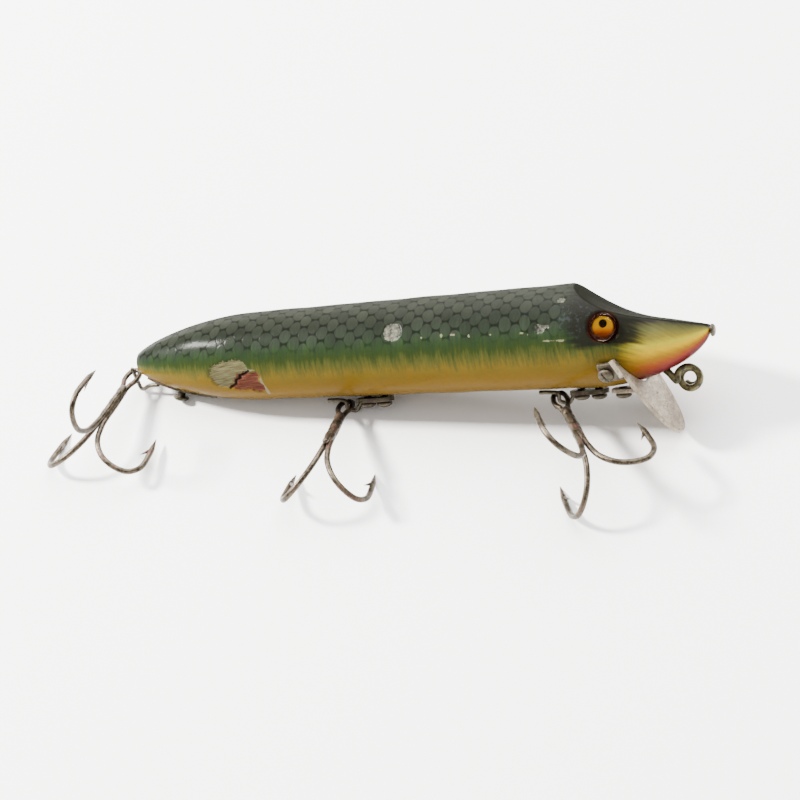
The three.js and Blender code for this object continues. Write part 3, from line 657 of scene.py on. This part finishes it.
def makeTongue():
    # tongue: half an ellipse from the tip to its widest, then straight sides up to the ears
    s = np.sin(np.linspace(-1, 1, 73) * pi / 2)
    v = lip["tongueShift"] + s * lip["tongueHalfWidth"]
    start = lip["tongueLength"] * (1 - np.sqrt(np.maximum(1 - s ** 2, 0)))
    u = start + np.linspace(0, 1, 60)[:, None] * (lipTop(v) - start)
    grids = [(onLip(u, v), False)]
    for side in (-1, 1):
        # wing beside the body: from the body's clearance out to the lip's full half width
        u = np.linspace(lip["tongueLength"], lip["length"], 14)[:, None]
        p = onLip(u[:, 0], 0)
        inner = np.sqrt(np.maximum((bodyRadius(p[:, 0]) + lip["clearance"]) ** 2 - p[:, 2] ** 2, 0))
        tongueEdge = lip["tongueHalfWidth"] * lip["wingOverlap"] + side * lip["tongueShift"]
        inner = np.maximum(inner, tongueEdge)[:, None]
        v = side * (inner + np.linspace(0, 1, 8)[None, :] * (lip["halfWidth"] - inner))
        v = v[:, ::side]
        grids.append((onLip(u, v), False))
    addPiece("lipTongue", grids, lipSheet, ["diving_lip"],
             sheet=(lip["sheet"], -1.0, lip["rounding"]))


def makeEars():
    # ears: sheets bent round the body's flanks, y = r cos a, z = -r sin a
    for name, side in (("Right", -1), ("Left", 1)):
        x = lip["earX"] + lip["earForward"] + np.linspace(-0.5, 0.5, 20)[:, None] * lip["earWidth"]
        r = bodyRadius(x) + lip["clearance"]
        a = radians(lip["earAngle"]) + np.linspace(-0.5, 0.5, 24)[None, :] * lip["earLength"] / r
        grid = np.stack([x + 0 * a, side * r * np.cos(a), -r * np.sin(a)], -1)[:, ::side]
        addPiece("lipEar" + name, [(grid, False)], fittingSteel, (),
                 sheet=(lip["sheet"], -1.0, lip["earRounding"]))


def makeTab():
    # tab: flat under the belly, its half width rounded off over its first corner's length
    x = lip["tabX"] - lip["tabBehindScrew"] + np.linspace(0, lip["tabReach"], 24)[:, None]
    corner = lip["tabCorner"]
    half = lip["tabWidth"] / 2 - corner * (1 - np.clip((x - x[0]) / corner, 0, 1) ** 0.5)
    grid = stripGrid(x, half, -(body["shoulderRadius"] + lip["clearance"]), 16)
    addPiece("lipTab", [(grid, False)], lipSheet, (), sheet=(lip["sheet"], 1.0, lip["rounding"]))


makeTongue()
makeEars()
makeTab()
print("lip made")

hanger = {
    "frontPivotX": 84.6, "middlePivotX": 42.4, "ahead": 2.7, "length": 6.9, "width": 5.0, "inset": 1.75,
    "spacing": 3.3, "drop": 1.45, "wire": 0.38, "sheet": 0.8, "gap": 0.3, "corner": 1.2, "rounding": 0.15,
    # the loop's wire, as steps from the pivot: into it from the plate, and away behind
    "loopFrom": [(3.9, 0, 0.75), (2.8, 0.3, 0.1), (1.6, 0.75, -1.25)],
    "loopTo": [(-1.9, -0.7, 1.02), (-3.4, -0.3, 1)], "loopBelow": 1.15, "loopAbove": 1.05}
tail = {"pivot": (-2.1, 0.8, -2.2), "curlFrom": [(3.2, 0, -4.5), (1.2, 0.3, -4.6), (-1, 1.2, -5.2)],
        "curlBelow": 1.6, "curlAbove": 1.5, "strip": (15.5, 1.4), "width": 2.7, "endRound": 1.4,
        "narrowing": 0.35, "narrowFrom": 6, "narrowOver": 4.6,
        "screwX": 8.0, "screwLean": 16.0, "screwRise": 0.12}


def hangerOf(pivotX):
    start = pivotX + hanger["ahead"]
    end = start + hanger["length"]
    radius = float(bodyRadius(end))
    return {"start": start, "end": end, "radius": radius,
            "screws": [start + hanger["inset"], start + hanger["inset"] + hanger["spacing"]],
            "pivot": np.array([pivotX, 0, -(radius + hanger["drop"])])}


hangers = {"front": hangerOf(hanger["frontPivotX"]), "middle": hangerOf(hanger["middlePivotX"])}
screw = {"radius": 1.45, "height": 0.9, "rim": 0.2, "gap": 0.3, "slotWidth": 0.42, "slotDepth": 0.42,
         "slotTurn": 0.4, "shankShare": 0.5, "shankDepth": 1.0}


def screwGrids():
    # a domed disc, z = rim + (height - rim) sqrt(1 - (x^2 + y^2) / r^2), in strips along its slot so that the
    # slot's walls are sharp; then the rim's wall, the underside and a stub of shank
    half, radius, gap = screw["slotWidth"] / 2, screw["radius"], screw["gap"]
    outer = radius * np.cos(np.linspace(0, pi / 2 - 0.2, 14))
    slot = [-half, -half + 0.02, 0, half - 0.02, half]
    x = np.concatenate([-outer, [-half - 0.03, -half], slot, [half, half + 0.03], outer[::-1]])
    low = np.zeros(len(x), bool)
    low[len(outer) + 2:-len(outer) - 2] = True
    s = np.sin(np.linspace(-1, 1, 33) * pi / 2)
    xx = np.repeat(x[:, None], len(s), 1)
    yy = np.sqrt(np.maximum(radius ** 2 - x ** 2, 0))[:, None] * s
    dome = np.sqrt(np.clip(1 - (xx ** 2 + yy ** 2) / radius ** 2, 0, 1))
    zz = gap + screw["rim"] + (screw["height"] - screw["rim"]) * dome
    zz = np.where(low[:, None], np.minimum(zz, gap + screw["height"] - screw["slotDepth"]), zz)
    grids = [(np.stack([xx, yy, zz], -1) @ rotation(2, -screw["slotTurn"]), False)]
    shank, depth = screw["shankShare"], -screw["shankDepth"]
    for profile in ([(1, gap + screw["rim"] + 0.01), (1, gap + screw["rim"] * 0.5), (1, gap)],
                    [(1, gap), (shank, gap)], [(shank, gap), (shank, depth), (0, depth)]):
        grids.append((turnedGrid([(share * radius, z) for share, z in profile], 64), True))
    return grids


def screwPlaces():
    # each screw's node, the way it points and the place under its head
    down = np.array([0, 0, -1.0])
    places = {}
    a = radians(lip["earAngle"])
    earOut = float(bodyRadius(lip["earX"])) + lip["clearance"] + lip["sheet"]
    for name, side in (("right", -1), ("left", 1)):
        out = np.array([0, side * cos(a), -sin(a)])
        places["lip_screw_" + name] = (out, out * earOut + [lip["earX"], 0, 0])
    bellyOut = body["shoulderRadius"] + lip["clearance"] + lip["sheet"]
    places["lip_screw_belly"] = (down, (lip["tabX"], 0, -bellyOut))
    for name, h in hangers.items():
        for i, x in enumerate(h["screws"]):
            plateOut = h["radius"] + hanger["gap"] + hanger["sheet"]
            places[f"{name}_hanger_screw_{i + 1}"] = (down, (x, 0, -plateOut))
    lean = radians(tail["screwLean"])
    stripOut = float(bodyRadius(tail["screwX"])) + hanger["gap"] + hanger["sheet"] + tail["screwRise"]
    places["tail_hanger_screw"] = (np.array([-sin(lean), 0, -cos(lean)]), (tail["screwX"], 0, -stripOut))
    return places


def facingAsCad(direction, place):
    # the shortest turn that takes z to the direction
    q = Vector((0, 0, 1)).rotation_difference(Vector(direction))
    m = np.array(q.to_matrix())
    return lambda grid: grid @ m.T + np.asarray(place, float)


for node, (out, place) in screwPlaces().items():
    turned = facingAsCad(out, place)
    grids = [(turned(grid), closed) for grid, closed in screwGrids()]
    addPiece("head." + node, grids, fittingSteel, [node])
print("screws made")

pin = {"radius": 1.15, "thickness": 0.7, "shank": 0.35, "shankDepth": 1.2, "gap": 0.3, "z": -0.5,
       "under": (0.94, 0.06), "rim": 0.22, "roundness": 0.7}


def pinProfile():
    # shank, underside, and a flat dome: r cos(b)^roundness, rim + (thickness - rim) sin b
    gap, rim = pin["gap"], pin["rim"]
    b = np.radians(np.linspace(0, 90, 12))
    under = [(0, -pin["shankDepth"]), (pin["shank"], -pin["shankDepth"]), (pin["shank"], gap),
             (pin["radius"] * pin["under"][0], gap), (pin["radius"], gap + pin["under"][1])]
    return under + [(pin["radius"] * cos(v) ** pin["roundness"],
                     gap + rim + (pin["thickness"] - rim) * sin(v)) for v in b]


pinAt = facing((1, 0, 0), (body["length"], 0, pin["z"]), (0, 0, 1))
addPiece("nosePin", [(pinAt(turnedGrid(pinProfile(), 48)), True)], fittingSteel, ["nose_pin"])

tie = {"centre": (109.25, -8.9), "radius": 2.15, "spiral": 0.65, "wire": 0.65, "pitch": 1.3,
       "startAngle": 188.0, "turned": 680.0, "entry": (101.4, -3.9), "shank": 5.8, "slope": 41.0}


def tiePath():
    # a straight shank out of the chin, then a narrowing coil: centre + radius (cos, sin), stepping sideways
    (x0, z0), s = tie["entry"], radians(tie["slope"])
    reach = [share * tie["shank"] for share in (0, 0.5, 1)]
    shank = [(x0 + r * cos(s), 0, z0 - r * sin(s)) for r in reach]
    f = np.linspace(0, 1, 27)
    a = np.radians(tie["startAngle"] - tie["turned"] * f)
    radius = tie["radius"] - tie["spiral"] * f
    coil = np.stack([tie["centre"][0] + radius * np.cos(a), tie["pitch"] * f * tie["turned"] / 360,
                     tie["centre"][1] + radius * np.sin(a)], -1)
    return smoothPath(np.vstack([shank, coil]), 260)


addPiece("lineTie", [(wireGrid(tiePath(), tie["wire"], 20), True)], tieBrass, ["line_tie"])
print("nose pin and line tie made")


def plateGrid(h):
    # the half width w(x) has rounded corners at the back and a half round at the front
    half, corner = hanger["width"] / 2, hanger["corner"]
    x = h["start"] + (h["end"] - h["start"]) * (1 - np.cos(np.linspace(0, pi, 40)[:, None])) / 2
    fromStart = np.clip((x - h["start"]) / corner, 0, 1)
    rear = half - corner * (1 - np.sqrt(1 - (1 - fromStart) ** 2))
    fromEnd = np.clip((h["end"] - x) / half, 0, 1)
    front = half * np.sqrt(np.maximum(1 - (1 - fromEnd) ** 2, 0))
    w = np.maximum(np.minimum(rear, front), 0.02)
    return stripGrid(x, w, -(h["radius"] + hanger["gap"]), 15)


def tailStripGrid():
    # the strip follows the tail's taper: z = -(r(x) + gap), round at its front and narrowing to the back
    front = tail["strip"][0]
    x = np.linspace(*tail["strip"], 44)[:, None]
    half = tail["width"] / 2 * np.minimum(1, np.sqrt(np.clip((front + 0.02 - x) / tail["endRound"], 0, 1)))
    half = half * (1 - tail["narrowing"] * smoothStep(tail["narrowFrom"] - x, 0, tail["narrowOver"]))
    return stripGrid(x, np.maximum(half, 0.05), -(bodyRadius(x) + hanger["gap"]), 13)


for name, h in hangers.items():
    pivot = h["pivot"]
    loop = [pivot + step for step in hanger["loopFrom"]]
    loop += [pivot - hanger["loopBelow"] * upInLure, pivot, pivot + hanger["loopAbove"] * upInLure]
    loop += [pivot + step for step in hanger["loopTo"]]
    addPiece(name + "HangerLoop", [(wireGrid(smoothPath(loop, 90), hanger["wire"], 14), True)],
             fittingSteel, [name + "_hanger"])
    addPiece(name + "HangerPlate", [(plateGrid(h), False)], fittingSteel, (),
             sheet=(hanger["sheet"], 1.0, hanger["rounding"]))

addPiece("tailHangerStrip", [(tailStripGrid()[::-1], False)], fittingSteel,
         ["tail_hanger"], sheet=(hanger["sheet"], -1.0, hanger["rounding"]))
pivot = np.array(tail["pivot"])
curl = tail["curlFrom"] + [pivot - tail["curlBelow"] * upInLure, pivot, pivot + tail["curlAbove"] * upInLure]
addPiece("tailHangerCurl", [(wireGrid(smoothPath(curl, 80), hanger["wire"], 14), True)],
         fittingSteel, ())
print("hangers made")

hook = {
    "wire": 0.55, "ringWire": 0.49, "reach": 11.5,
    # half of the ring and its legs, mm along and aside
    "ring": [(9.5, 0.42), (6, 0.44), (3.6, 0.7), (2.1, 1.19), (0.3, 1.19), (-0.8, 0.8092), (-1.14, 0)],
    # an arm, as shares of the hook's length and reach
    "arm": [(0.27, 0.04), (0.42, 0.05), (0.56, 0.05), (0.67, 0.066), (0.843, 0.16), (0.96, 0.37),
        (1.0, 0.617), (0.983, 0.85), (0.888, 0.995), (0.73, 1.0), (0.63, 0.978), (0.535, 0.948)],
    "stub": [(0.5, 0.03), (0.6, 0.045), (0.655, 0.055)],
    "pointShare": 0.115, "pointTaper": 0.85, "pointEnd": 0.03,
    "barb": [(0.665, 0.985), (0.765, 0.865)], "barbWire": 0.8, "barbEnd": 0.06,
    "shankFrom": 4.2, "shankShare": 0.62, "shankRadius": 0.93, "shankEnd": 0.45}
trebles = {
    "front": {"pivot": (34.9786, 4.3197, 5.5003), "tilt": -0.2466, "length": 25.0, "sideways": 28.5,
              "arms": (-101, 32, 146), "stubs": ()},
    "middle": {"pivot": (-7.0836, 4.7929, 2.0562), "tilt": -0.4198, "length": 24.5, "sideways": 4.0,
               "arms": (134, -138), "stubs": (0,)},
    "tail": {"pivot": (-51.8917, 10.9022, 3.2463), "tilt": -0.217, "length": 23.5, "sideways": -7.5,
             "arms": (-4, 124, -116), "stubs": ()},
}


def makeTreble(name, t):
    # a ring, a brazed shank, and for each arm a leg beside the shank, a round bend, a point and a barb
    def place(profile, angle):
        # turned about the shank by the angle: y = -sin a out, z = cos a out
        p = np.asarray(profile, float)
        a = radians(angle)
        out = p[:, 1] * hook["reach"]
        return np.stack([p[:, 0] * t["length"], -sin(a) * out, cos(a) * out], -1)

    spin = rotation(2, radians(t["sideways"] - 90)) @ rotation(1, t["tilt"])
    ring = np.array(hook["ring"] + [(x, -w) for x, w in hook["ring"][-2::-1]])
    grids = [wireGrid(smoothPath(np.column_stack([ring, np.zeros(len(ring))]), 120), hook["ringWire"], 14)]
    # brazed shank: a lumpy bar between the wires, thinner at both ends
    f = np.linspace(0, 1, 60)
    shankX = hook["shankFrom"] + f * (hook["shankShare"] * t["length"] - hook["shankFrom"])
    shank = np.column_stack([shankX, 0 * f, 0 * f])
    bulge = hook["shankRadius"] + 0.04 * np.sin(f * 17) + 0.03 * np.sin(f * 41 + 1)
    ends = np.sqrt(np.clip(np.minimum(f / 0.08, (1 - f) / 0.14), 0, 1))
    grids.append(wireGrid(shank, bulge * (hook["shankEnd"] + (1 - hook["shankEnd"]) * ends), 20))
    for angle in t["arms"]:
        # wire radius: even, then (share left / point's share)^taper
        path = smoothPath(place(hook["arm"], angle), 110)
        left = np.linspace(1, 0, len(path)) / hook["pointShare"]
        taper = np.where(left < 1, np.maximum(left, hook["pointEnd"]) ** hook["pointTaper"], 1)
        grids.append(wireGrid(path, hook["wire"] * taper, 16))
        base, tip = place(hook["barb"], angle)
        barb = base + np.linspace(0, 1, 12)[:, None] * (tip - base)
        grids.append(wireGrid(barb, hook["wire"] * hook["barbWire"] * np.linspace(1, hook["barbEnd"], 12), 12))
    for angle in t["stubs"]:
        # a broken arm leaves a short end
        grids.append(wireGrid(smoothPath(place(hook["stub"], angle), 16), hook["wire"], 14))
    addPiece(name + "Treble", [(grid, True) for grid in grids], hookSteel, ["treble_" + name],
             rides=name + "_hook", put=lambda p: (p @ spin.T + np.array(t["pivot"])) / 1000)


for name, t in trebles.items():
    makeTreble(name, t)
print("hooks made")

studio = {
    "floorSize": 4.0, "floorZ": -0.00001, "floorColour": "#ececec", "floorFlecks": "#d9d9d9",
    # camera: in the lure's frame in mm, focal length and aim in pixels of the square image
    "camera": {"centre": (59.6, 0, 0), "distance": 500.0, "focal": 2695.0, "aim": (426.0, 345.0),
               "right": (0.9237, 0.37, -0.0991), "up": (0.05, 0.14, 0.9889), "image": 800, "sensor": 36},
    # lights: name, place, size, watts, colour
    "lights": [("key", (-0.78, 0.10, 0.64), 0.16, 62.0, "#fffdf8"),
               ("fill", (0.05, 0.68, 0.90), 1.3, 68.0, "#ffffff")],
    "sky": 1.15, "skyColour": "#fff9f4"}


def makeFloor():
    # studio paper: matt and pale, with a grain that barely shows
    material, shader, add = newMaterial("paleStudioPaper")
    grain = add("TexNoise", add("TexCoord"), 900, 3, 0.55)
    amount = add("Math MULTIPLY", grain, 0.05)
    paper = add("Mix RGBA", amount, studio["floorColour"], studio["floorFlecks"])
    fill(shader, {"Base Color": paper, "Roughness": 0.8})
    half, z = studio["floorSize"] / 2, studio["floorZ"]
    mesh = bpy.data.meshes.new("floor")
    corners = [(-half, -half, z), (half, -half, z), (half, half, z), (-half, half, z)]
    mesh.from_pydata(corners, [], [(0, 1, 2, 3)])
    mesh.materials.append(material)
    floor = bpy.data.objects.new("floor", mesh)
    bpy.context.collection.objects.link(floor)


def makeLights():
    for name, place, size, power, colour in studio["lights"]:
        lamp = bpy.data.lights.new(name, "AREA")
        lamp.size, lamp.energy, lamp.color = size, power, shade(colour)[:3]
        light = bpy.data.objects.new(name, lamp)
        light.location = place
        light.rotation_euler = (-Vector(place)).to_track_quat("-Z", "Y").to_euler()
        bpy.context.collection.objects.link(light)
    world = bpy.data.worlds.new("studio")
    world.use_nodes = True
    fill(world.node_tree.nodes["Background"], {"Color": studio["skyColour"], "Strength": studio["sky"]})
    bpy.context.scene.world = world


def makeCamera():
    # looks along -back, moved aside to put the lure's centre on the aimed pixel
    c = studio["camera"]
    right = unit(c["right"])
    back = unit(np.cross(right, c["up"]))
    up = np.cross(back, right)
    aimX, aimY = [(v - c["image"] / 2) / c["focal"] * c["distance"] for v in c["aim"]]
    place = np.array(c["centre"]) - aimX * right + aimY * up + c["distance"] * back
    camera = bpy.data.objects.new("camera", bpy.data.cameras.new("camera"))
    camera.data.sensor_width = c["sensor"]
    camera.data.lens = c["sensor"] * c["focal"] / c["image"]
    camera.data.clip_start = 0.01
    axes = np.stack([turn @ right, turn @ up, turn @ back], 1)
    camera.matrix_world = Matrix(np.vstack([np.column_stack([axes, toRoom(place)]), [0, 0, 0, 1]]).tolist())
    bpy.context.collection.objects.link(camera)
    bpy.context.scene.camera = camera


makeFloor()
makeLights()
makeCamera()
print("floor, light and camera made")
